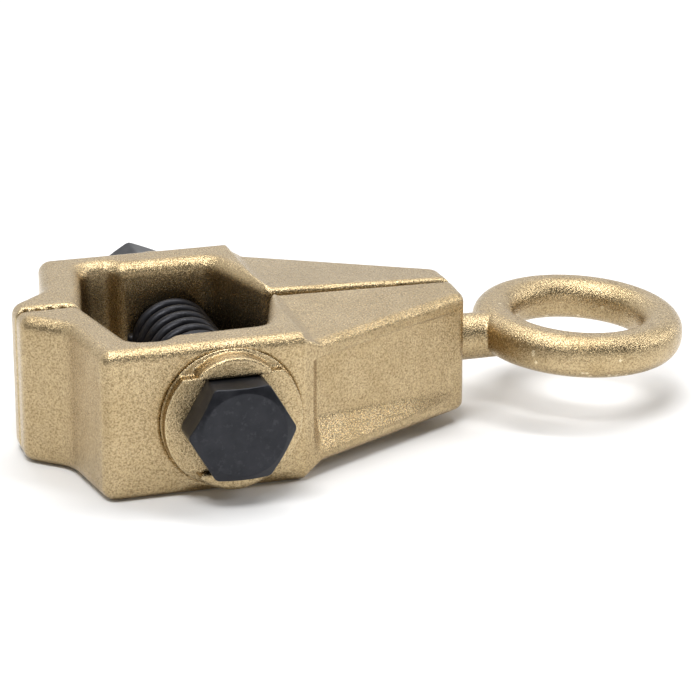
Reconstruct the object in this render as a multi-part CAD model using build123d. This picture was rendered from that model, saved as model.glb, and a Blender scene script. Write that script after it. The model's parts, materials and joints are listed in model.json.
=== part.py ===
"""Self-tightening two-jaw pull clamp with a swivelling pull ring.

Two forged jaws stand side by side, held by one cross bolt. A spring round the bolt opens
them, and the nut closes them. Their tails close on a conical spreader, through which the
shank of the ring eye passes. All sizes are millimetres.

The shapes are laid out with the bolt axis along Y through the origin, and moved at the end
so that the origin of the part is the centre of the ring: +X from mouth to ring, +Z up.
"""
from build123d import *
import math
import os

# ---- overall sizes -------------------------------------------------------------------
bolt_to_eye = 134.0          # bolt axis to ring centre
jaw_height = 49.2            # forged height of a jaw
boss_half_width = 49.5       # centre plane to the outer face of a boss
mouth_reach = 57.3           # bolt axis to the front of the mouth
tail_reach = 89.0            # bolt axis to the end of the tails
tooth_gap = 0.6              # centre plane to the tooth tips, jaws closed
tail_gap = 2.5               # centre plane to the inner face of a tail, at the throat
tail_end_gap = 0.8           # the same at the tail's end

# ---- jaw forging ---------------------------------------------------------------------
nose_half_width = 8.0        # flat front of the nose
nose_root = 45.0             # bolt axis to the hollow behind the nose
nose_root_width = 19.0
boss_front = 40.0            # bolt axis to the front corner of the boss
boss_back = 24.0             # bolt axis to the back corner of the boss
throat_front = 35.5          # bolt axis to the front of the throat
front_wall = 12.0            # boss wall in front of the throat pocket
pad_half_width = 34.4        # centre plane to the spring pad
pad_half_length = 15.0       # half length of the spring pad
pad_rise = 0.6               # how much thicker the pad is at its tail end
pocket_depth = 4.1           # throat pocket in front of the pad
throat_back = 25.8           # bolt axis to the back of the throat
throat_waist = 25.5          # half width of the throat behind the pad
tail_shoulder = 4.0          # length of the corner from boss to tail
tail_drop = 2.2              # tail below the boss, at the shoulder
tail_fall = 2.0              # further drop of the tail's inner edge towards its end
tail_tilt = 2.5              # degrees that the tail's top slopes outward
tail_end_half_width = 14.4
edge_radius = 4.0            # top and bottom edges outside
mouth_edge_radius = 2.4      # top and bottom edges along the tooth tips
throat_edge_radius = 4.6     # top and bottom edges inside
tail_edge_radius = 3.0       # long outer edges of the tail
tail_inner_radius = 1.8      # long inner edges of the tail
panel_depth = 7.4            # sunk panel in the tail's side, at the boss
panel_top = 9.4              # top of the boss to the panel's upper side
panel_start = 3.6            # boss corner to the panel
panel_wall = 3.2             # length of the wall from the tail's face to the panel's floor
panel_tip = 2.0              # end of the panel to the tail's end
panel_foot = 7.2             # bottom of the boss to the foot of the drafted lower side
panel_foot_end = 9.6         # the same at the panel's tip
panel_draft = 10.4           # height of that drafted side beside the boss
panel_draft_end = 2.4        # the same at the panel's tip
tooth_pitch = 4.0
tooth_depth = 1.5

# ---- cross bolt, nut and spring ------------------------------------------------------
bolt_diameter = 20.0
hex_across_flats = 30.0
head_height = 12.5
nut_height = 30.0
nut_rest_turn = 24.0         # degrees that the nut's flats are turned at rest
thread_pitch = 2.5
full_opening = 9.7           # travel of the far seat along the bolt
bolt_spare = 3.0             # thread left beyond the nut, jaws fully open
bolt_running_gap = 0.05      # nut on bolt
slot_run = 3.4               # extra length of the jaw's bolt slot
slot_gap = 0.5
spring_diameter = 28.2
spring_wire = 3.8
spring_pitch = 6.6
spring_seat_depth = 0.2      # spot face below the pad at its thin end
spring_end_gap = 0.3
spring_room = 0.3            # spot face round the spring
bolt_chamfer = 1.5

# ---- domed seats ---------------------------------------------------------------------
seat_radius = 22.7
seat_proud = 0.4             # flat of the seat above the boss
seat_band = 3.8              # raised band under the hex, above that flat
seat_dome = 45.0             # radius of the domed underside
seat_edge = 0.1              # edge of the dome below the boss face
seat_gap = 0.15              # dome to socket
lug_height = 6.6             # crescent lugs above the seat's flat
lug_radius = 16.6            # round back of a lug
lug_rim = 1.0                # step from the seat's edge to the lug
lug_gap = 0.3                # lug to the flat of the hex
lug_edge_radius = 1.0
lug_end_radius = 1.2
band_step = 0.6              # raised band ends this far inside the rim
nut_swing_gap = 0.5          # far lugs to the corners of the nut

# ---- ring eye and spreader -----------------------------------------------------------
ring_bore = 42.4
ring_section = 14.4
ring_corner = 6.2            # rounding of the ring's section
shank_diameter = 15.8
shank_gap = 0.5              # tails to shank
ring_pitch = 2.7             # degrees that the ring is set down at its far end
ring_roll = 2.1              # degrees that the ring is set over sideways
thread_end_diameter = 14.0
cone_start = 46.0            # bolt axis to the wide end of the spreader
cone_length = 22.0
cone_wide_radius = 13.5
cone_narrow_radius = 9.6
cone_gap = 0.3
swivel_gap = 0.08            # shank in spreader and washer
washer_thickness = 2.0
washer_radius = 13.0
lock_nut_height = 9.0
lock_nut_flats = 21.0
lock_nut_gap = 0.05
shank_end_spare = 1.2        # shank beyond the lock nut
shank_float = 3.0            # how far the shank can slide back
chamber_gap = 1.2            # tails round the washer and lock nut
pin_diameter = 3.0
pin_length = 23.0
pin_gap = 0.03
shank_chamfer = 1.0

# ---- worked out from the above -------------------------------------------------------
half_height = jaw_height / 2
dome_centre = boss_half_width - seat_edge + math.sqrt(seat_dome**2 - seat_radius**2)
seat_flat = boss_half_width + seat_proud
hex_base = seat_flat + seat_band
bolt_end = hex_base + nut_height + full_opening + bolt_spare
spring_seat = pad_half_width - spring_seat_depth
hex_corner_radius = hex_across_flats / math.sqrt(3)
ring_radius = (ring_bore + ring_section) / 2
washer_face = cone_start - washer_thickness
lock_nut_face = washer_face - lock_nut_height
shank_end = lock_nut_face - shank_end_spare
beyond = 10.0                # cutters run this far past the faces they cut


def turned(profile_points, axis):
    """Solid of revolution from points given as (distance along the axis, radius)."""
    if axis == Axis.X:
        outline = Polyline(*[(along, radius) for along, radius in profile_points], close=True)
    else:
        outline = Polyline(*[(radius, along) for along, radius in profile_points], close=True)
    return revolve(make_face(outline), axis)


def bar_along_y(radius, start, end):
    """Round bar along Y between two places."""
    disc = Plane(origin=(0, start, 0), z_dir=(0, 1, 0)) * Circle(radius)
    return extrude(disc, amount=end - start)


def hexagon_along_y(across_flats, start, end, turn):
    """Hexagonal bar along Y. With no turn, two of its flats face up and down."""
    hexagon = RegularPolygon(across_flats / math.sqrt(3), 6, rotation=turn)
    return extrude(Plane(origin=(0, start, 0), x_dir=(1, 0, 0), z_dir=(0, 1, 0)) * hexagon,
                   amount=end - start)


def chamfered_hexagon(across_flats, start, end, turn, both_ends):
    """Hexagon along Y whose corners are turned off at 30 degrees, as on a nut or a head."""
    corner = across_flats / math.sqrt(3)
    flat = across_flats * 0.475
    drop = (corner - flat) * math.tan(math.radians(30))
    lower_radius = flat if both_ends else corner
    lower_drop = drop if both_ends else 0.0
    points = [(start, 0), (start, lower_radius)]
    if both_ends:
        points.append((start + lower_drop, corner))
    points += [(end - drop, corner), (end, flat), (end, 0)]
    return hexagon_along_y(across_flats, start, end, turn) & turned(points, Axis.Y)


def jaw_outline():
    """Plan of one jaw on its side of the centre plane, with y away from that plane."""
    shoulder_back = boss_back + tail_shoulder
    slope = (boss_half_width - tail_end_half_width) / (tail_reach - boss_back)
    shoulder_width = boss_half_width - slope * tail_shoulder
    pocket_back = pad_half_length + pocket_depth
    pocket_front = boss_front - front_wall
    points = [
        (-mouth_reach, tooth_gap),
        (-mouth_reach, nose_half_width),
        (-nose_root, nose_root_width),
        (-boss_front, boss_half_width),
        (boss_back, boss_half_width),
        (shoulder_back, shoulder_width),
        (tail_reach, tail_end_half_width),
        (tail_reach, tail_end_gap),
        (throat_back, tail_gap),
        (pad_half_length + 3.5, throat_waist),
        (pad_half_length, pad_half_width - pad_rise),
        (-pad_half_length, pad_half_width),
        (-pocket_back, pad_half_width + pocket_depth),
        (-pocket_front, pad_half_width + pocket_depth * 0.75),
        (-throat_front, tooth_gap),
    ]
    return make_face(Polyline(*points, close=True))


def corner_edges(solid, x, y):
    """Upright edges of a jaw that stand at one corner of its plan."""
    return [edge for edge in solid.edges().filter_by(Axis.Z)
            if abs(edge.center().X - x) < 0.01 and abs(edge.center().Y - y) < 0.01]


def jaw_blank():
    """The forging's plan at full height, with its upright corners rounded."""
    blank = extrude(jaw_outline(), amount=half_height, both=True)
    shoulder_back = boss_back + tail_shoulder
    roundings = [
        (-mouth_reach, nose_half_width, edge_radius + 1.2),
        (-nose_root, nose_root_width, 13.0),
        (-boss_front, boss_half_width, edge_radius + 0.6),
        (tail_reach, tail_end_half_width, edge_radius + 0.6),
        (throat_back, tail_gap, 4.0),
        (pad_half_length, pad_half_width - pad_rise, throat_edge_radius + 0.6),
        (-pad_half_length, pad_half_width, throat_edge_radius + 0.6),
        (-pad_half_length - pocket_depth, pad_half_width + pocket_depth, 3.5),
        (front_wall - boss_front, pad_half_width + pocket_depth * 0.75, 5.0),
        (-throat_front, tooth_gap, 0.0),
    ]
    for x, y, radius in roundings:
        edges = corner_edges(blank, x, y)
        if radius > 0 and edges:
            blank = fillet(edges, radius)
    return blank


def tail_cutter():
    """Cuts the top of the tail lower than the boss, falling to its end and outward."""
    top = half_height + beyond
    start = half_height - tail_drop
    end = start - tail_fall
    back = tail_reach + beyond
    ramp = Polyline(
        (boss_back, top), (boss_back + 0.5, half_height), (boss_back + 4.5, start),
        (back, end), (back, top), close=True)
    face = Plane.XZ * make_face(ramp)
    block = extrude(face, amount=-(boss_half_width + beyond))
    block += extrude(face, amount=beyond)
    pivot = Pos(0, tail_gap, start)
    return pivot * Rot(-tail_tilt, 0, 0) * pivot.inverse() * block


def side_panel():
    """Wedge sunk into the tail's outer face, deepest beside the boss, with its foot below."""
    slope = (boss_half_width - tail_end_half_width) / (tail_reach - boss_back)
    start = boss_back + panel_start
    tip = tail_reach - panel_tip

    def section(x, depth):
        face_y = boss_half_width - slope * (x - boss_back)
        along = (x - start) / (tip - start)
        top = half_height - panel_top
        foot = -half_height + panel_foot + along * (panel_foot_end - panel_foot)
        floor_edge = foot + panel_draft + along * (panel_draft_end - panel_draft)
        points = [
            (face_y + beyond, top), (face_y, top), (face_y - depth, top - 0.2 * depth),
            (face_y - depth, floor_edge), (face_y, foot), (face_y + beyond, foot),
        ]
        return Plane(origin=(x, 0, 0), x_dir=(0, 1, 0), z_dir=(1, 0, 0)) * make_face(
            Polyline(*points, close=True))

    shallow = 0.05
    wall = loft([section(start, shallow), section(start + panel_wall, panel_depth)], ruled=True)
    floor = loft([section(start + panel_wall, panel_depth), section(tip, shallow)], ruled=True)
    return wall + floor


def mouth_rounding():
    """Cuts the top edge along the tooth tips round."""
    rounded = tooth_gap + mouth_edge_radius
    level = half_height - mouth_edge_radius
    length = mouth_reach - throat_front + 2 * mouth_edge_radius
    corner = Box(length, 2 * mouth_edge_radius, 2 * mouth_edge_radius)
    corner -= Pos(0, mouth_edge_radius, -mouth_edge_radius) * Rot(0, 90, 0) * Cylinder(
        mouth_edge_radius, 2 * length)
    return Pos(-mouth_reach + length / 2 - mouth_edge_radius, rounded - mouth_edge_radius,
               level + mouth_edge_radius) * corner


def tail_inner_rounding():
    """Cuts the tail's top edge beside the centre plane round."""
    radius = tail_inner_radius
    bulge = radius * (1 - math.sqrt(0.5))

    def section(x):
        along = (x - throat_back) / (tail_reach - throat_back)
        y = tail_gap + along * (tail_end_gap - tail_gap)
        fallen = tail_fall * (x - boss_back) / (tail_reach + beyond - boss_back)
        z = half_height - tail_drop - fallen
        points = [
            (y - beyond, z + beyond), (y + radius, z + beyond), (y + radius, z),
            (y + bulge, z - bulge), (y, z - radius), (y - beyond, z - radius),
        ]
        return Plane(origin=(x, 0, 0), x_dir=(0, 1, 0), z_dir=(1, 0, 0)) * make_face(
            Polyline(*points, close=True))

    return loft([section(throat_back), section(tail_reach + beyond)], ruled=True)


def tooth_grooves():
    """Upright V grooves across the gripping face."""
    grooves = []
    count = int((mouth_reach - throat_front - tooth_pitch / 2) / tooth_pitch)
    for index in range(count):
        x = -mouth_reach + tooth_pitch * (index + 0.9)
        half = tooth_pitch * 0.36
        groove = Polyline((x - half, tooth_gap - 1), (x - half, tooth_gap),
                          (x, tooth_gap + tooth_depth), (x + half, tooth_gap),
                          (x + half, tooth_gap - 1), close=True)
        grooves.append(extrude(make_face(groove), amount=half_height + beyond, both=True))
    return grooves


def seat_socket():
    """Hollow for the seat's domed underside."""
    return Pos(0, dome_centre, 0) * Sphere(seat_dome + seat_gap)


def bolt_slot():
    """Slot for the bolt, longer than it is high so that the jaw can rock on its seat."""
    radius = bolt_diameter / 2 + slot_gap
    bore = Plane.XZ * Circle(radius)
    far_bore = Plane.XZ * Pos(slot_run, 0) * Circle(radius)
    bridge = Plane.XZ * Pos(slot_run / 2, 0) * Rectangle(slot_run, 2 * radius)
    return extrude(bore + far_bore + bridge, amount=-(boss_half_width + beyond))


def tail_chamber():
    """Room in the tails for the lock nut, washer, spreader and shank."""
    room = washer_radius + chamber_gap
    bore = shank_diameter / 2 + shank_gap
    narrow_end = cone_start + cone_length
    start = shank_end - shank_float - chamber_gap
    return turned(
        [(start, 0), (start, room), (cone_start - 0.5, room),
         (cone_start - 0.5, cone_wide_radius + cone_gap),
         (narrow_end + 1.0, cone_narrow_radius + cone_gap), (narrow_end + 1.0, bore),
         (tail_reach + beyond, bore), (tail_reach + beyond, 0)], Axis.X)


def is_outside(point):
    """True for a point on the jaw's outside, false for one round its throat."""
    in_front = point.X < -throat_front - throat_edge_radius
    return in_front or point.Y > boss_half_width - edge_radius


def level_edges(body):
    """Edges in the top or bottom face of the boss, apart from those along the tooth tips."""
    return [edge for edge in body.edges()
            if edge.bounding_box().size.Z < 0.01
            and abs(abs(edge.center().Z) - half_height) < 0.01
            and edge.bounding_box().max.Y > tail_gap + 0.1]


def throat_rim(blank):
    """Top and bottom edges round the throat, from the mouth to the back of the throat."""
    return [edge for edge in level_edges(blank)
            if not is_outside(edge.center()) and edge.center().X < throat_back + 2]


def outer_rim(body):
    """Top and bottom edges of the boss and the nose outside."""
    return [edge for edge in level_edges(body)
            if is_outside(edge.center()) and edge.center().X < boss_back - 1]


def tail_edges(body):
    """Long outer edges of the tail, top and bottom."""
    chosen = []
    for edge in body.edges():
        box = edge.bounding_box()
        long = box.size.X > (tail_reach - boss_back) * 0.7
        outer = box.max.Y > boss_half_width * 0.8 and box.size.Y > tail_end_half_width
        if long and outer:
            chosen.append(edge)
    return chosen


def jaw():
    """One forged jaw, on the +Y side of the centre plane."""
    body = jaw_blank()
    body = fillet(throat_rim(body), throat_edge_radius)
    body = fillet(outer_rim(body), edge_radius)
    cutter = tail_cutter()
    body -= cutter
    body -= mirror(cutter, about=Plane.XY)
    body = fillet(tail_edges(body), tail_edge_radius)
    body -= mirror(side_panel(), about=Plane.XY)
    body -= mouth_rounding()
    body -= mirror(mouth_rounding(), about=Plane.XY)
    body -= tail_inner_rounding()
    body -= mirror(tail_inner_rounding(), about=Plane.XY)
    for groove in tooth_grooves():
        body -= groove
    body -= seat_socket()
    body -= bolt_slot()
    body -= bar_along_y(spring_diameter / 2 + spring_room, 0, spring_seat)
    body -= tail_chamber()
    return body


def seat(lug_cut):
    """Domed seat on the +Y side: flat outside, with a raised band and two crescent lugs."""
    top = seat_flat + lug_height
    disc = bar_along_y(seat_radius, dome_centre - seat_dome, seat_flat)
    disc &= Pos(0, dome_centre, 0) * Sphere(seat_dome)
    band_half = hex_across_flats / 2 + lug_gap
    band = bar_along_y(seat_radius - band_step, seat_flat, hex_base)
    band &= Box(2 * seat_radius, 2 * (hex_base + beyond), 2 * band_half)
    offset = seat_radius - lug_rim - lug_radius
    lug = Pos(0, 0, offset) * bar_along_y(lug_radius, seat_flat, top)
    lug -= Pos(0, 0, band_half - seat_radius) * Box(
        2 * seat_radius, 2 * (top + beyond), 2 * seat_radius)
    lug = fillet(lug.edges().filter_by(Axis.Y), lug_end_radius)
    lug -= lug_cut
    lug_tops = [edge for edge in lug.edges() if edge.bounding_box().min.Y > top - 0.01]
    lug = fillet(lug_tops, lug_edge_radius)
    lugs = lug + mirror(lug, about=Plane.XY)
    body = disc + band + lugs
    return body - bar_along_y(bolt_diameter / 2 + bolt_running_gap, 0, boss_half_width + beyond)


def head_pocket():
    """Space between the lugs that holds two flats of the bolt's head."""
    reach = boss_half_width + seat_dome
    return Box(2 * seat_radius, 2 * reach, hex_across_flats + 2 * lug_gap)


def nut_pocket():
    """Round space between the lugs in which the nut turns."""
    return bar_along_y(hex_corner_radius + nut_swing_gap, 0, boss_half_width + seat_dome)


def clamp_bolt():
    """Hexagon-head bolt through both jaws, with its head on the -Y side."""
    head = chamfered_hexagon(hex_across_flats, hex_base, hex_base + head_height, 0, False)
    shank = bar_along_y(bolt_diameter / 2, -hex_base, bolt_end)
    rim = [edge for edge in shank.edges() if edge.center().Y > bolt_end - 0.01]
    shank = chamfer(rim, bolt_chamfer)
    return Rot(180, 0, 0) * head + shank


def clamp_nut():
    """Hexagon nut on the +Y side."""
    end = hex_base + nut_height
    nut = chamfered_hexagon(hex_across_flats, hex_base, end, nut_rest_turn, True)
    return nut - bar_along_y(bolt_diameter / 2 + bolt_running_gap, 0, end + beyond)


def opening_spring():
    """Round-wire compression spring round the bolt, between the two pads."""
    coil_radius = (spring_diameter - spring_wire) / 2
    half_length = spring_seat - spring_end_gap - spring_wire / 2
    coil = Helix(pitch=spring_pitch, height=2 * half_length, radius=coil_radius)
    section = Plane(origin=coil @ 0, z_dir=coil % 0) * Circle(spring_wire / 2)
    wire = sweep(section, path=coil)
    return Rot(-90, 0, 0) * Pos(0, 0, -half_length) * wire


def ring():
    """Forged ring with its axis along Z, flattened a little inside and outside."""
    section = Plane.XZ * Pos(ring_radius, 0) * RectangleRounded(
        ring_section, ring_section, ring_corner)
    return Pos(bolt_to_eye, 0, 0) * Rot(ring_roll, ring_pitch, 0) * revolve(section, Axis.Z)


def eye_bolt():
    """Ring and shank forged in one, threaded at the shank's inner end."""
    thread = thread_end_diameter / 2
    shank = shank_diameter / 2
    profile = [
        (shank_end, 0), (shank_end, thread - shank_chamfer), (shank_end + shank_chamfer, thread),
        (washer_face, thread), (washer_face, shank),
        (bolt_to_eye - ring_radius, shank), (bolt_to_eye - ring_radius, 0)]
    return turned(profile, Axis.X) + ring() - pin_hole()


def pin_hole():
    """Cross hole for the lock pin, through shank and lock nut."""
    x = washer_face - lock_nut_height / 2
    return Pos(x, 0, 0) * Cylinder(pin_diameter / 2 + pin_gap, 4 * lock_nut_flats)


def spreader_cone():
    """Cone that the ring draws between the tails to force them apart."""
    bore = shank_diameter / 2 + swivel_gap
    end = cone_start + cone_length
    return turned([(cone_start, bore), (cone_start, cone_wide_radius),
                   (end, cone_narrow_radius), (end, bore)], Axis.X)


def thrust_washer():
    """Hardened washer between spreader and lock nut."""
    bore = shank_diameter / 2 + swivel_gap
    return turned([(washer_face, bore), (washer_face, washer_radius),
                   (cone_start, washer_radius), (cone_start, bore)], Axis.X)


def lock_nut():
    """Hexagon nut that holds the shank, pinned so that it can't turn off."""
    start = Plane(origin=(lock_nut_face, 0, 0), x_dir=(0, 1, 0), z_dir=(1, 0, 0))
    hexagon = start * RegularPolygon(lock_nut_flats / math.sqrt(3), 6)
    nut = extrude(hexagon, amount=lock_nut_height)
    bore = turned([(lock_nut_face - 1, 0), (lock_nut_face - 1, thread_end_diameter / 2 + lock_nut_gap),
                   (washer_face + 1, thread_end_diameter / 2 + lock_nut_gap), (washer_face + 1, 0)],
                  Axis.X)
    return nut - bore - pin_hole()


def lock_pin():
    """Straight pin through the lock nut and the shank."""
    return Pos(washer_face - lock_nut_height / 2, 0, 0) * Cylinder(pin_diameter / 2, pin_length)


def other_side(shape):
    """The same piece turned over to the -Y side."""
    return Rot(180, 0, 0) * shape


def all_pieces():
    """Every separate piece of the clamp by name."""
    one_jaw = jaw()
    return {
        "near_jaw": other_side(one_jaw),
        "far_jaw": one_jaw,
        "near_seat": other_side(seat(head_pocket())),
        "far_seat": seat(nut_pocket()),
        "clamp_bolt": clamp_bolt(),
        "clamp_nut": clamp_nut(),
        "opening_spring": opening_spring(),
        "eye_bolt": eye_bolt(),
        "spreader_cone": spreader_cone(),
        "thrust_washer": thrust_washer(),
        "lock_nut": lock_nut(),
        "lock_pin": lock_pin(),
    }


os.makedirs("parts", exist_ok=True)
for name, shape in all_pieces().items():
    export_step(Pos(-bolt_to_eye, 0, 0) * shape, f"parts/{name}.step")
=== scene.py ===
"""Looks of the pull clamp: a champagne-gold forged clamp with a blacked bolt, nut and spring."""
import json
import math

import bpy
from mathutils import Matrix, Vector


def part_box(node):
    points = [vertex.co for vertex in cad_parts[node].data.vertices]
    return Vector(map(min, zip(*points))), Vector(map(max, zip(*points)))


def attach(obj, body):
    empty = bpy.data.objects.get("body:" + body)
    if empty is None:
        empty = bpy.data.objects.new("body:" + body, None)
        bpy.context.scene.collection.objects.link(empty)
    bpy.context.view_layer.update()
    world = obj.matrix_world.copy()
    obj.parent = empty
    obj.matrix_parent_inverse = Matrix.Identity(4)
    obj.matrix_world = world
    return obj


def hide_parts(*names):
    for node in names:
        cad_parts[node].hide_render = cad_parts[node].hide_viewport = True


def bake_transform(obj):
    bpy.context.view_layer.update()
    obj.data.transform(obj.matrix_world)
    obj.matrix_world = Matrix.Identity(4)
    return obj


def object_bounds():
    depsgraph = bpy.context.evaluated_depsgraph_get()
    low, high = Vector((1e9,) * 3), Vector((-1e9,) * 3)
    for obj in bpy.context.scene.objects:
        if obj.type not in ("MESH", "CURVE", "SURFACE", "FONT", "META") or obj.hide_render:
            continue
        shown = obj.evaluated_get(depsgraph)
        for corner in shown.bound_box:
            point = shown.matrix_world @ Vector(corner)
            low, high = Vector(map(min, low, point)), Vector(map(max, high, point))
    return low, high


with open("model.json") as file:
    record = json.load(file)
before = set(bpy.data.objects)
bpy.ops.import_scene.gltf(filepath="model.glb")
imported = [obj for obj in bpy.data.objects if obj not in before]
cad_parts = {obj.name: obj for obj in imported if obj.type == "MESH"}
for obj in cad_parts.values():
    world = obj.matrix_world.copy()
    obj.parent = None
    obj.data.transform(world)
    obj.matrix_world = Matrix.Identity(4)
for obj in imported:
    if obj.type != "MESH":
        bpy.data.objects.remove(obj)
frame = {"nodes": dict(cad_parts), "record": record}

cad_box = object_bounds()

# ---- places and sizes, in metres, from the frame ---------------------------------------
MM = 0.001


def middle(node):
    """Centre of a node's box."""
    low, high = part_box(node)
    return (low + high) / 2


BOLT_X = middle("clamp_bolt").x
HEX_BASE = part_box("clamp_nut")[0].y
NUT_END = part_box("clamp_nut")[1].y
HEAD_END = -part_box("clamp_bolt")[0].y
BOLT_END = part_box("clamp_bolt")[1].y
RING_AXIS = Vector(next(m["axis"] for m in frame["record"]["mounts"] if m["name"] == "ring_bore"))
RING_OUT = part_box("eye_bolt")[1].x
HEX_FLATS = 30.0 * MM
BOLT_RADIUS = 10.0 * MM
THREAD_PITCH = 2.5 * MM
THREAD_DEPTH = 1.35 * MM
THREAD_START = 22.0 * MM
THREAD_ROWS = 12
THREAD_FLANK = 2.6
THREAD_CREST = 0.15
NUT_TURN = math.radians(24.0)
NUT_CLEARANCE = 0.06 * MM
HEAD_BEVEL = 0.35 * MM
NUT_BEVEL = 0.25 * MM
STEEL_BEVEL = 0.12 * MM
FACE_SHARE = 0.45
CORNER_ROUNDING = 0.3 * MM
COUNTERSINK = 0.9 * MM
SHANK_CHAMFER = 1.5 * MM
SHANK_IN_HEAD = 0.5 * MM
SPRING_PITCH = 6.6 * MM
SPRING_WIRE = 3.8 * MM
SPRING_CLEARANCE = 0.6 * MM
SPRING_ROWS_PER_TURN = 56
SPRING_COLUMNS = 20
PARTING_BAND = 19.0 * MM
PARTING_HEIGHT = 0.10 * MM
PARTING_HALF_WIDTH = 0.3 * MM
PARTING_SLOPE = 1.2 * MM
CONE_BORE = 7.98 * MM
CONE_NARROW = 9.6 * MM
CONE_LIP = 0.5 * MM
JAW_VOXEL, JAW_ROUNDS = 0.55 * MM, 3
SEAT_VOXEL, SEAT_ROUNDS = 0.36 * MM, 2
RING_VOXEL, RING_ROUNDS = 0.45 * MM, 3
SMALL_VOXEL, SMALL_ROUNDS = 0.25 * MM, 2


# ---- materials ---------------------------------------------------------------------------
def new_material(name):
    """Empty node material and its node tree helpers."""
    material = bpy.data.materials.new(name)
    material.use_nodes = True
    nodes = material.node_tree.nodes
    nodes.clear()
    output = nodes.new("ShaderNodeOutputMaterial")
    shader = nodes.new("ShaderNodeBsdfPrincipled")
    material.node_tree.links.new(shader.outputs["BSDF"], output.inputs["Surface"])
    return material, nodes, material.node_tree.links, shader


def noise(nodes, links, scale, detail, roughness=0.6):
    """Noise in object space. Scale is in features per metre."""
    place = nodes.new("ShaderNodeTexCoord")
    texture = nodes.new("ShaderNodeTexNoise")
    texture.inputs["Scale"].default_value = scale
    texture.inputs["Detail"].default_value = detail
    texture.inputs["Roughness"].default_value = roughness
    links.new(place.outputs["Object"], texture.inputs["Vector"])
    return texture.outputs["Fac"]


def ramp(nodes, links, source, stops):
    """Colour ramp over a value. Stops are (place, colour)."""
    node = nodes.new("ShaderNodeValToRGB")
    elements = node.color_ramp.elements
    while len(elements) < len(stops):
        elements.new(0.5)
    for element, (place, colour) in zip(elements, stops):
        element.position = place
        element.color = (*colour, 1.0)
    links.new(source, node.inputs["Fac"])
    return node.outputs["Color"]


def span(nodes, links, source, low, high, start=0.3, end=0.7):
    """The middle of a noise value mapped to low to high."""
    node = nodes.new("ShaderNodeMapRange")
    node.inputs["From Min"].default_value = start
    node.inputs["From Max"].default_value = end
    node.inputs["To Min"].default_value = low
    node.inputs["To Max"].default_value = high
    links.new(source, node.inputs["Value"])
    return node.outputs["Result"]


def mixed(nodes, links, amount, first, second):
    """Colour mixed from first to second by a value."""
    node = nodes.new("ShaderNodeMix")
    node.data_type = "RGBA"
    links.new(amount, node.inputs["Factor"])
    for socket, colour in (("A", first), ("B", second)):
        place = next(i for i in node.inputs if i.name == socket and i.type == "RGBA")
        if isinstance(colour, tuple):
            place.default_value = (*colour, 1.0)
        else:
            links.new(colour, place)
    return next(o for o in node.outputs if o.type == "RGBA")


def edge_highlight(nodes, links, low, high):
    """0 on flats to 1 on sharp convex edges, where the gold gets its painted highlight."""
    place = nodes.new("ShaderNodeNewGeometry")
    return span(nodes, links, place.outputs["Pointiness"], 0.0, 1.0, low, high)


def bump(nodes, links, height, distance, strength=1.0, under=None):
    """Bump node, stacked on another one when given."""
    node = nodes.new("ShaderNodeBump")
    node.inputs["Strength"].default_value = strength
    node.inputs["Distance"].default_value = distance
    links.new(height, node.inputs["Height"])
    if under is not None:
        links.new(under, node.inputs["Normal"])
    return node.outputs["Normal"]


def forged_gold():
    """Metallic champagne-gold coat over a sandy forged skin, with a painted highlight of lighter gold
    on its sharp convex edges.
    """
    material, nodes, links, shader = new_material("forged_gold")
    grain = noise(nodes, links, 1550, 3, 0.75)
    flakes = noise(nodes, links, 3600, 1, 0.7)
    clouds = noise(nodes, links, 70, 4, 0.55)
    patches = noise(nodes, links, 30, 3, 0.5)
    coat = ramp(nodes, links, clouds, [(0.3, (0.520, 0.395, 0.218)), (0.7, (0.615, 0.480, 0.285))])
    pits = span(nodes, links, grain, 0.60, 0.0, 0.40, 0.54)
    pitted = mixed(nodes, links, pits, coat, (0.17, 0.110, 0.045))
    # Painted highlight: lighter gold on the sharp convex edges.
    edge_highlighted = mixed(nodes, links, edge_highlight(nodes, links, 0.52, 0.60), pitted, (0.84, 0.71, 0.47))
    links.new(edge_highlighted, shader.inputs["Base Color"])
    shader.inputs["Metallic"].default_value = 1.0
    links.new(span(nodes, links, flakes, 0.16, 0.33), shader.inputs["Roughness"])
    waves = bump(nodes, links, patches, 0.5 * MM, 0.30)
    fine = bump(nodes, links, flakes, 0.05 * MM, 0.8, waves)
    links.new(bump(nodes, links, grain, 0.22 * MM, 1.0, fine), shader.inputs["Normal"])
    return material


def black_oxide(name, low, high):
    """Satin black oxide on steel, lighter in random worn patches."""
    material, nodes, links, shader = new_material(name)
    clouds = noise(nodes, links, 160, 4)
    grain = noise(nodes, links, 2600, 2)
    coat = ramp(nodes, links, clouds, [(0.3, low), (0.75, high)])
    rubs = span(nodes, links, noise(nodes, links, 420, 3, 0.7), 0.0, 0.5, 0.56, 0.72)
    links.new(mixed(nodes, links, rubs, coat, (0.055, 0.055, 0.062)), shader.inputs["Base Color"])
    shader.inputs["Metallic"].default_value = 0.6
    shader.inputs["Specular IOR Level"].default_value = 0.5
    links.new(span(nodes, links, clouds, 0.30, 0.46), shader.inputs["Roughness"])
    links.new(bump(nodes, links, grain, 0.03 * MM, 0.5), shader.inputs["Normal"])
    return material


def turned_steel():
    """Oiled steel with fine turning marks."""
    material, nodes, links, shader = new_material("turned_steel")
    clouds = noise(nodes, links, 240, 4)
    colour = ramp(nodes, links, clouds, [(0.3, (0.36, 0.35, 0.33)), (0.7, (0.52, 0.51, 0.49))])
    links.new(colour, shader.inputs["Base Color"])
    shader.inputs["Metallic"].default_value = 1.0
    links.new(span(nodes, links, clouds, 0.24, 0.40), shader.inputs["Roughness"])
    links.new(bump(nodes, links, noise(nodes, links, 4000, 2), 0.02 * MM, 0.4), shader.inputs["Normal"])
    return material


GOLD = forged_gold()
BLACK = black_oxide("black_oxide", (0.014, 0.015, 0.019), (0.028, 0.029, 0.035))
SPRING_BLACK = black_oxide("spring_black", (0.010, 0.010, 0.013), (0.022, 0.022, 0.027))
STEEL = turned_steel()


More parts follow.
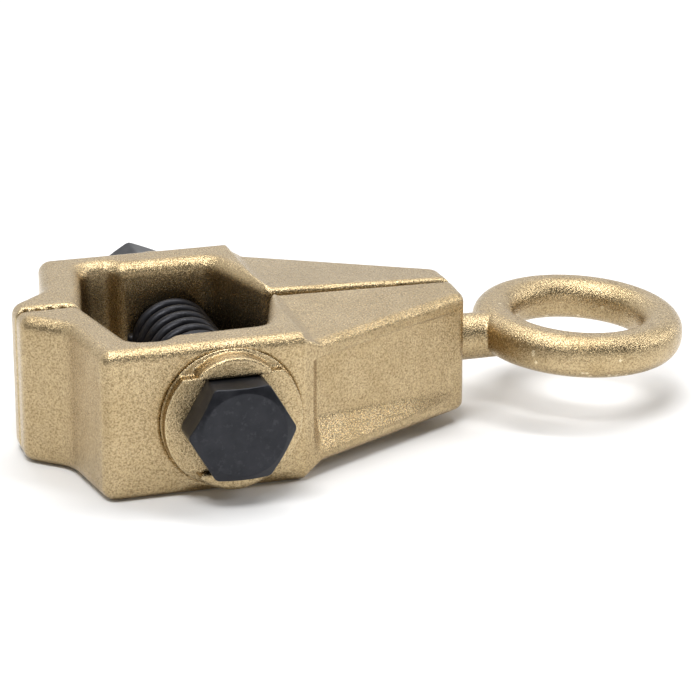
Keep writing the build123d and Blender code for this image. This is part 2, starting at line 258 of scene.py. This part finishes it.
# ---- mesh work ---------------------------------------------------------------------------
def new_piece(name, points, faces):
    """Object from points and faces."""
    mesh = bpy.data.meshes.new(name)
    mesh.from_pydata(points, [], faces)
    mesh.validate()
    mesh.update()
    piece = bpy.data.objects.new(name, mesh)
    bpy.context.scene.collection.objects.link(piece)
    return piece


def apply_modifiers(piece):
    """Makes the evaluated mesh the piece's own."""
    evaluated = piece.evaluated_get(bpy.context.evaluated_depsgraph_get())
    mesh = bpy.data.meshes.new_from_object(evaluated)
    piece.modifiers.clear()
    piece.data = mesh


def soften_edges(piece, width, angle=18):
    """Small bevel on every edge sharper than the angle, with the flats shaded flat."""
    piece.data.shade_smooth()
    bevel = piece.modifiers.new("bevel", "BEVEL")
    bevel.width = width
    bevel.segments = 2
    bevel.limit_method = "ANGLE"
    bevel.angle_limit = math.radians(angle)
    weighted = piece.modifiers.new("weighted", "WEIGHTED_NORMAL")
    weighted.weight = 100
    apply_modifiers(piece)


def body_of(node):
    """Name of the body that holds a node."""
    for body, nodes in frame["record"]["behaviour"]["bodies"].items():
        if node in nodes:
            return body
    raise KeyError(node)


def finish_piece(piece, node, slot, material, rides=True):
    """Material, replaced node and body of one piece. The slot argument is not used."""
    piece.data.materials.clear()
    piece.data.materials.append(material)
    if rides:
        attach(piece, body_of(node))
    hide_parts(node)


def forged_copy(name, node, voxel, rounds):
    """The node's shape as a forging: every edge softened a little, on an even fine mesh."""
    mesh = frame["nodes"][node].data.copy()
    piece = bpy.data.objects.new(name, mesh)
    bpy.context.scene.collection.objects.link(piece)
    remesh = piece.modifiers.new("remesh", "REMESH")
    remesh.mode = "VOXEL"
    remesh.voxel_size = voxel
    remesh.use_smooth_shade = True
    smooth = piece.modifiers.new("smooth", "SMOOTH")
    smooth.factor = 0.5
    smooth.iterations = rounds
    apply_modifiers(piece)
    piece.data.shade_smooth()
    return piece


def round_grid(rows, columns, point, closed_ends):
    """Points and faces of a tube of rows of points. Its ends are capped, or joined to each other."""
    points = [point(row, column) for row in range(rows) for column in range(columns)]
    faces = []
    last = rows if not closed_ends else rows - 1
    for row in range(last):
        upper = (row + 1) % rows
        for column in range(columns):
            beside = (column + 1) % columns
            faces.append((row * columns + column, upper * columns + column,
                          upper * columns + beside, row * columns + beside))
    if closed_ends:
        faces.append(tuple(range(columns)))
        faces.append(tuple(reversed(range((rows - 1) * columns, rows * columns))))
    return points, faces


def hexagon_shell(flats, start, end, turn, bore, chamfer_start, side, columns=144):
    """Hexagon along Y with 30 degree chamfers, solid or with a countersunk bore. side is 1 or -1."""
    flat_radius = flats * FACE_SHARE
    corner = flats / math.sqrt(3) - CORNER_ROUNDING
    slope = math.tan(math.radians(30))
    sink = COUNTERSINK

    def edge_radius(angle):
        across = (angle - turn) % math.radians(60) - math.radians(30)
        return min(flats / 2 / math.cos(across), corner)

    def point(row, column):
        angle = 2 * math.pi * column / columns
        edge = edge_radius(angle)
        drop = max(0.0, edge - flat_radius) * slope
        profile = [(flat_radius, end), (edge, end - drop)]
        if chamfer_start:
            profile += [(edge, start + drop), (flat_radius, start)]
        else:
            profile += [(edge, start), (flat_radius, start)]
        if bore:
            profile += [(bore + sink, start), (bore, start + sink),
                        (bore, end - sink), (bore + sink, end)]
        radius, along = profile[row]
        return (BOLT_X + radius * math.cos(angle), side * along, -radius * math.sin(angle))

    return round_grid(8 if bore else 4, columns, point, not bore)


def thread_shell(start, end, thread_from, columns=72):
    """Round bar along Y with a helical thread to its chamfered end."""
    step = THREAD_PITCH / THREAD_ROWS
    plain = [start, thread_from - step]
    count = int((end - thread_from) / step)
    rows = plain + [thread_from + step * index for index in range(count)] + [end]

    def point(row, column):
        along = rows[row]
        angle = 2 * math.pi * column / columns
        phase = (along / THREAD_PITCH - angle / (2 * math.pi)) % 1.0
        groove = min(1.0, max(0.0, (0.5 - abs(phase - 0.5)) * THREAD_FLANK - THREAD_CREST))
        runout = min(1.0, max(0.0, (along - thread_from) / (2 * THREAD_PITCH)))
        radius = BOLT_RADIUS - THREAD_DEPTH * groove * runout
        radius = min(radius, BOLT_RADIUS - SHANK_CHAMFER + (end - along))
        return (BOLT_X + radius * math.cos(angle), along, radius * math.sin(angle))

    return round_grid(len(rows), columns, point, True)


def turned_shell(profile, columns=96):
    """Ring turned about the X axis from points (along, radius) that go round its section."""
    def point(row, column):
        angle = 2 * math.pi * column / columns
        along, radius = profile[row]
        return (along, radius * math.cos(angle), radius * math.sin(angle))
    return round_grid(len(profile), columns, point, False)


# ---- pieces ------------------------------------------------------------------------------
def jaws_and_seats():
    """Forged jaws and their domed seats."""
    for kind, voxel, rounds in (("jaw", JAW_VOXEL, JAW_ROUNDS), ("seat", SEAT_VOXEL, SEAT_ROUNDS)):
        for node in ("near_" + kind, "far_" + kind):
            piece = forged_copy(node + "_forging", node, voxel, rounds)
            finish_piece(piece, node, "forged_gold", GOLD)


def ring_eye():
    """Ring and shank, with the thin parting line that the dies leave."""
    piece = forged_copy("ring_eye_forging", "eye_bolt", RING_VOXEL, RING_ROUNDS)
    ring_edge = RING_OUT - PARTING_BAND
    shank_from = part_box("spreader_cone")[1].x
    vertices = piece.data.vertices
    normals = [vertex.normal.copy() for vertex in vertices]
    places = [vertex.co.copy() for vertex in vertices]
    moved = []
    for place, normal in zip(places, normals):
        on_ring = place.length < RING_OUT + 1.0 * MM
        height = place.dot(RING_AXIS) if on_ring else place.z
        reach = (place - RING_AXIS * height).length if on_ring else 1.0
        away = 0.0
        if reach > ring_edge and place.x > shank_from:
            away = min(1.0, max(0.0, (abs(height) - PARTING_HALF_WIDTH) / PARTING_SLOPE))
        moved.extend(place - normal * (PARTING_HEIGHT * away))
    vertices.foreach_set("co", moved)
    piece.data.update()
    finish_piece(piece, "eye_bolt", "forged_gold", GOLD)


def bolt_and_nut():
    """Hexagon bolt with its rolled thread, and the high nut."""
    head = new_piece("bolt_head", *hexagon_shell(
        HEX_FLATS, HEX_BASE, HEAD_END, 0.0, 0.0, False, -1))
    soften_edges(head, HEAD_BEVEL)
    finish_piece(head, "clamp_bolt", "black_oxide", BLACK)
    shank = new_piece("bolt_shank", *thread_shell(
        -HEX_BASE - SHANK_IN_HEAD, BOLT_END, THREAD_START))
    shank.data.shade_smooth()
    finish_piece(shank, "clamp_bolt", "black_oxide", BLACK)
    nut = new_piece("high_nut", *hexagon_shell(
        HEX_FLATS, HEX_BASE, NUT_END, NUT_TURN, BOLT_RADIUS + NUT_CLEARANCE, True, 1))
    soften_edges(nut, NUT_BEVEL)
    finish_piece(nut, "clamp_nut", "black_oxide", BLACK)


def spring():
    """Round-wire spring with plain open ends."""
    low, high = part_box("opening_spring")
    coil = (high.x - low.x - SPRING_WIRE) / 2
    first = low.y + SPRING_CLEARANCE + SPRING_WIRE / 2
    last = high.y - SPRING_CLEARANCE - SPRING_WIRE / 2
    turns = (last - first) / SPRING_PITCH
    rows = int(turns * SPRING_ROWS_PER_TURN)

    def point(row, column):
        share = row / (rows - 1)
        angle = 2 * math.pi * turns * share
        around = 2 * math.pi * column / SPRING_COLUMNS
        out = coil + SPRING_WIRE / 2 * math.cos(around)
        along = first + (last - first) * share + SPRING_WIRE / 2 * math.sin(around)
        return (BOLT_X + out * math.cos(angle), along, -out * math.sin(angle))

    piece = new_piece("coil_spring", *round_grid(rows, SPRING_COLUMNS, point, True))
    piece.data.shade_smooth()
    finish_piece(piece, "opening_spring", "black_oxide", SPRING_BLACK, rides=False)
    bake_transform(piece)


def inner_pieces():
    """Spreader cone, thrust washer, lock nut and pin inside the tails."""
    bore, lip = CONE_BORE, CONE_LIP
    low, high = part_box("spreader_cone")
    wide = high.y
    cone = new_piece("turned_cone", *turned_shell([
        (low.x, bore + lip), (low.x, wide - lip), (low.x + lip, wide),
        (high.x - lip, CONE_NARROW + lip * 0.3), (high.x, CONE_NARROW - lip),
        (high.x, bore + lip), (high.x - lip, bore), (low.x + lip, bore)]))
    finish_piece(cone, "spreader_cone", "bare_steel", STEEL)
    low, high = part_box("thrust_washer")
    rim = high.y
    washer = new_piece("turned_washer", *turned_shell([
        (low.x, bore), (low.x, rim - lip), (low.x + lip * 0.6, rim),
        (high.x - lip * 0.6, rim), (high.x, rim - lip), (high.x, bore)]))
    finish_piece(washer, "thrust_washer", "bare_steel", STEEL)
    for piece in (cone, washer):
        soften_edges(piece, STEEL_BEVEL)
    for node, slot, material in (("lock_nut", "black_oxide", BLACK), ("lock_pin", "bare_steel", STEEL)):
        piece = forged_copy(node + "_piece", node, SMALL_VOXEL, SMALL_ROUNDS)
        finish_piece(piece, node, slot, material)


jaws_and_seats()
ring_eye()
bolt_and_nut()
spring()
inner_pieces()


# ---- stage -------------------------------------------------------------------------------
def camera():
    """Long lens, a little above the clamp and turned towards its ring end."""
    azimuth = math.radians(17.1)
    elevation = math.radians(19.8)
    distance = 0.991
    look = Vector((math.sin(azimuth) * math.cos(elevation),
                   math.cos(azimuth) * math.cos(elevation), -math.sin(elevation)))
    target = Vector((BOLT_X + 53.9 * MM, 0, -0.6 * MM))
    data = bpy.data.cameras.new("camera")
    data.lens = 154.3
    data.sensor_width = 36.0
    data.clip_start = 0.05
    data.clip_end = 20.0
    eye = bpy.data.objects.new("camera", data)
    eye.location = target - look * distance
    eye.rotation_euler = look.to_track_quat("-Z", "Y").to_euler()
    bpy.context.scene.collection.objects.link(eye)
    bpy.context.scene.camera = eye


def softbox(name, place, aim, size, power):
    """Rectangular area light aimed at a point."""
    data = bpy.data.lights.new(name, "AREA")
    data.shape = "RECTANGLE"
    data.size, data.size_y = size
    data.energy = power
    lamp = bpy.data.objects.new(name, data)
    lamp.location = place
    lamp.rotation_euler = (Vector(aim) - Vector(place)).to_track_quat("-Z", "Y").to_euler()
    bpy.context.scene.collection.objects.link(lamp)


def floor():
    """Plain pale floor under the jaws."""
    low = cad_low.z - 0.05 * MM
    mesh = bpy.data.meshes.new("floor")
    half = 4.0
    mesh.from_pydata([(-half, -half, low), (half, -half, low), (half, half, low), (-half, half, low)],
                     [], [(0, 1, 2, 3)])
    plane = bpy.data.objects.new("floor", mesh)
    bpy.context.scene.collection.objects.link(plane)
    material, nodes, links, shader = new_material("floor")
    colour = ramp(nodes, links, noise(nodes, links, 2, 2),
                  [(0.3, (0.90, 0.90, 0.90)), (0.7, (0.92, 0.92, 0.92))])
    links.new(colour, shader.inputs["Base Color"])
    shader.inputs["Roughness"].default_value = 0.8
    mesh.materials.append(material)


def studio_room():
    """Room light: pale behind the clamp, fading to dim on the camera's side."""
    world = bpy.data.worlds.new("world")
    world.use_nodes = True
    nodes, links = world.node_tree.nodes, world.node_tree.links
    place = nodes.new("ShaderNodeTexCoord")
    parts = nodes.new("ShaderNodeSeparateXYZ")
    links.new(place.outputs["Generated"], parts.inputs["Vector"])
    behind = span(nodes, links, parts.outputs["Y"], 0.0, 1.0, -0.3, 0.6)
    shade = ramp(nodes, links, behind, [(0.0, (0.10, 0.10, 0.10)), (1.0, (0.85, 0.85, 0.85))])
    links.new(shade, nodes["Background"].inputs["Color"])
    nodes["Background"].inputs["Strength"].default_value = 1.0
    bpy.context.scene.world = world


cad_low = Vector(cad_box[0])
camera()
floor()
centre = (BOLT_X + 50 * MM, 0, 0)
softbox("key", (-0.45, -0.42, 1.25), centre, (0.75, 0.30), 9.0)
softbox("side", (1.05, -0.10, 0.60), centre, (0.30, 0.45), 3.5)
softbox("top", (0.15, 0.30, 1.35), centre, (1.2, 0.25), 8.0)
softbox("front", (0.10, -1.30, 0.16), centre, (1.6, 0.12), 2.2)
studio_room()
bpy.context.scene.view_settings.view_transform = "Standard"
bpy.context.scene.view_settings.exposure = 0.25
